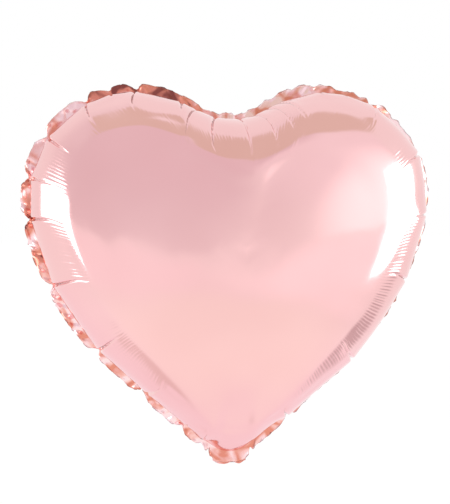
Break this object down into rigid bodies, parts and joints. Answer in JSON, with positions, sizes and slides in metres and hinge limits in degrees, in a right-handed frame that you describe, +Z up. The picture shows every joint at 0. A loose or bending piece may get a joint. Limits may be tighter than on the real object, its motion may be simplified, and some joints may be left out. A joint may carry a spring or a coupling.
{
  "type": "heart-shaped foil balloon",
  "caption": "Inflated heart-shaped foil balloon in metallic rose gold, with a crimped edge seam, a folding filling neck and a self-sealing valve.",
  "frame": {"origin": "middle of the line where the neck folds at the heart's bottom tip, in the plane of the seam, where the ribbon is tied", "axes": "+X right across the heart seen from the front, +Y from the front to the back, where the neck is folded up, +Z up from the tip to the lobes"},
  "size_m": [0.38, 0.17, 0.35],
  "materials": {
    "front_foil": "mirror-like rose-gold metallised film",
    "back_foil": "mirror-like rose-gold metallised film",
    "welded_foil": "crinkled heat-sealed film",
    "valve_film": "clear polyethylene film"
  },
  "bodies": {
    "root": {"front_panel": "front_foil", "back_panel": "back_foil", "seam_weld": "welded_foil", "valve_back_ply": "valve_film", "valve_throat_ply": "valve_film", "valve_left_weld": "valve_film", "valve_right_weld": "valve_film"},
    "neck": {"neck_front_ply": "front_foil", "neck_back_ply": "back_foil", "neck_left_weld": "welded_foil", "neck_right_weld": "welded_foil", "valve_inlet_front_ply": "valve_film", "valve_inlet_back_ply": "valve_film"},
    "valve_flap": {"valve_flap_ply": "valve_film"}
  },
  "joints": [
    {"name": "neck_fold", "type": "hinge", "parent": "root", "child": "neck", "pos_m": [0, 0, 0], "axis": [-1, 0, 0], "range_deg": [0, 285]},
    {"name": "valve_flap_open", "type": "hinge", "parent": "root", "child": "valve_flap", "pos_m": [0, 0, 0.0423], "axis": [1, 0, 0], "range_deg": [0, 12], "stiffness_Nm_per_rad": 0.0002}
  ]
}
